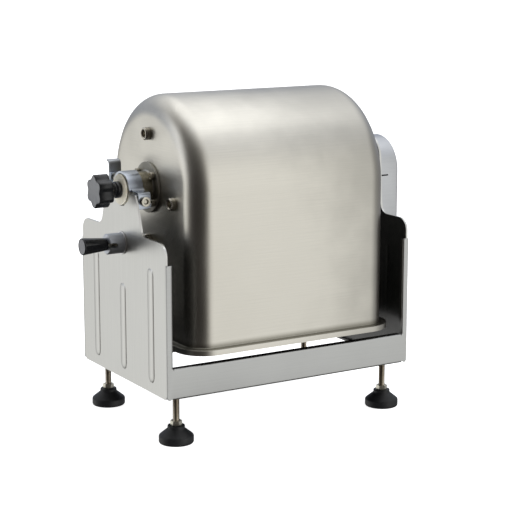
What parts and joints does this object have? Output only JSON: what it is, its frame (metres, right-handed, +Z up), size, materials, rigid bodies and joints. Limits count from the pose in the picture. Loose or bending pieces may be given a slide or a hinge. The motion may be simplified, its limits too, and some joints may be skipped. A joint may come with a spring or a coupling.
{
  "type": "tilting tank mixer",
  "caption": "Deep U-shaped mixing tank that tilts between two side plates on a low levelling stand, with geared paddles, a star knob and a sprung locking plunger.",
  "frame": {"origin": "middle of the bounding box, on the floor under the pads of the feet", "axes": "+X along the tilt axis, from the star knob towards the gear cover; +Y from the front frame towards the rear frame; +Z up"},
  "size_m": [0.52, 0.282, 0.4725],
  "materials": {
    "satin_steel": "satin stainless steel with a fine brushed grain",
    "stand_steel": "satin stainless steel sheet",
    "bright_steel": "bright turned and pressed stainless steel",
    "stud_steel": "threaded nickel-plated steel",
    "black_plastic": "moulded black plastic",
    "pad_rubber": "moulded black rubber",
    "nylon": "turned natural nylon",
    "gear_steel": "machined steel",
    "bronze": "turned bronze"
  },
  "bodies": {
    "stand": {"left_side_plate": "stand_steel", "right_side_plate": "stand_steel", "front_frame": "stand_steel", "rear_frame": "stand_steel", "left_saddle": "bright_steel", "left_strap": "bright_steel", "strap_bracket": "bright_steel", "rear_horn": "bright_steel", "strap_screw_front": "bright_steel", "strap_screw_rear": "bright_steel", "left_bush": "nylon", "lock_barrel": "gear_steel", "lock_ring": "bright_steel", "lock_guide": "gear_steel", "right_bearing": "nylon", "gear_cover": "stand_steel", "input_bush": "bronze", "cover_screw_1": "bright_steel", "cover_screw_2": "bright_steel", "cover_screw_3": "bright_steel"},
    "tank": {"tank_shell": "satin_steel", "left_trunnion": "bright_steel", "right_trunnion": "bright_steel", "trunnion_bolt_1": "bright_steel", "trunnion_bolt_2": "bright_steel", "trunnion_bolt_3": "bright_steel", "trunnion_bolt_4": "bright_steel", "index_boss_upside_down": "bright_steel", "index_boss_pouring": "bright_steel", "index_boss_upright": "bright_steel"},
    "knob": {"star_knob": "black_plastic", "knob_washer": "nylon", "knob_stud": "bright_steel"},
    "paddles": {"paddle_shaft": "bright_steel", "paddle_1": "satin_steel", "paddle_2": "satin_steel", "paddle_3": "satin_steel", "paddle_4": "satin_steel", "paddle_gear": "gear_steel", "gear_circlip": "bright_steel"},
    "input": {"input_shaft": "bright_steel", "input_pinion": "gear_steel"},
    "lock": {"lock_pin": "bright_steel", "lock_cross_pin": "bright_steel", "lock_grip": "black_plastic", "lock_spring": "bright_steel"},
    "foot_front_left": {"foot_pad_front_left": "pad_rubber", "foot_nut_front_left": "bright_steel", "foot_stud_front_left": "stud_steel"},
    "foot_front_right": {"foot_pad_front_right": "pad_rubber", "foot_nut_front_right": "bright_steel", "foot_stud_front_right": "stud_steel"},
    "foot_rear_left": {"foot_pad_rear_left": "pad_rubber", "foot_nut_rear_left": "bright_steel", "foot_stud_rear_left": "stud_steel"},
    "foot_rear_right": {"foot_pad_rear_right": "pad_rubber", "foot_nut_rear_right": "bright_steel", "foot_stud_rear_right": "stud_steel"}
  },
  "joints": [
    {"name": "tank_tilt", "type": "hinge", "parent": "stand", "child": "tank", "pos_m": [0, 0, 0.3425], "axis": [1, 0, 0], "continuous": true},
    {"name": "paddle_spin", "type": "hinge", "parent": "stand", "child": "paddles", "pos_m": [0, 0, 0.3425], "axis": [1, 0, 0], "continuous": true},
    {"name": "input_spin", "type": "hinge", "parent": "stand", "child": "input", "pos_m": [0, 0, 0.2875], "axis": [1, 0, 0], "continuous": true},
    {"name": "knob_turn", "type": "hinge", "parent": "tank", "child": "knob", "pos_m": [0, 0, 0.3425], "axis": [1, 0, 0], "continuous": true},
    {"name": "lock_pull", "type": "slide", "parent": "stand", "child": "lock", "axis": [-1, 0, 0], "range_m": [0, 0.0125], "stiffness_N_per_m": 600, "springref_m": -0.01, "deforming": ["lock_spring"]},
    {"name": "foot_height_front_left", "type": "slide", "parent": "stand", "child": "foot_front_left", "axis": [0, 0, 1], "range_m": [-0.02, 0.004]},
    {"name": "foot_height_front_right", "type": "slide", "parent": "stand", "child": "foot_front_right", "axis": [0, 0, 1], "range_m": [-0.02, 0.004]},
    {"name": "foot_height_rear_left", "type": "slide", "parent": "stand", "child": "foot_rear_left", "axis": [0, 0, 1], "range_m": [-0.02, 0.004]},
    {"name": "foot_height_rear_right", "type": "slide", "parent": "stand", "child": "foot_rear_right", "axis": [0, 0, 1], "range_m": [-0.02, 0.004]}
  ],
  "couplings": [
    {"joint": "input_spin", "follows": "paddle_spin", "ratio": -2.6667}
  ]
}
